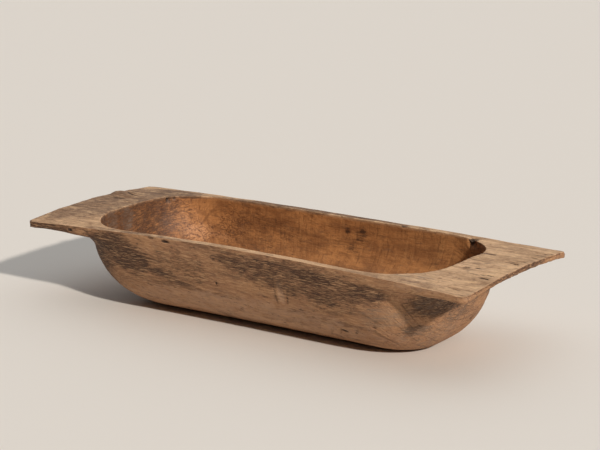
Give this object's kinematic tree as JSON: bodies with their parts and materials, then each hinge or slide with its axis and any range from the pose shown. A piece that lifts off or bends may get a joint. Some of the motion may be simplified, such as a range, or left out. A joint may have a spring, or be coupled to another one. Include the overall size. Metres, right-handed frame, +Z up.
{
  "type": "dough trough",
  "caption": "Hewn wooden dough trough in one piece: long round-ended hollow, rounded hull with a flat foot, and a thin lifting ledge at each end.",
  "frame": {"origin": "on the ground, at the centre of the bounding box's bottom face", "axes": "+X along the grain, from the left ledge to the right ledge; +Y away from the viewer who has the left ledge at the left; +Z up, out of the hollow"},
  "size_m": [1.1, 0.4308, 0.188],
  "materials": {
    "aged_wood": "old hewn softwood, hand worn and dry, dark smoky patina outside, warmer and smoother in the hollow"
  },
  "bodies": {
    "root": {"trough_body": "aged_wood"}
  },
  "joints": []
}
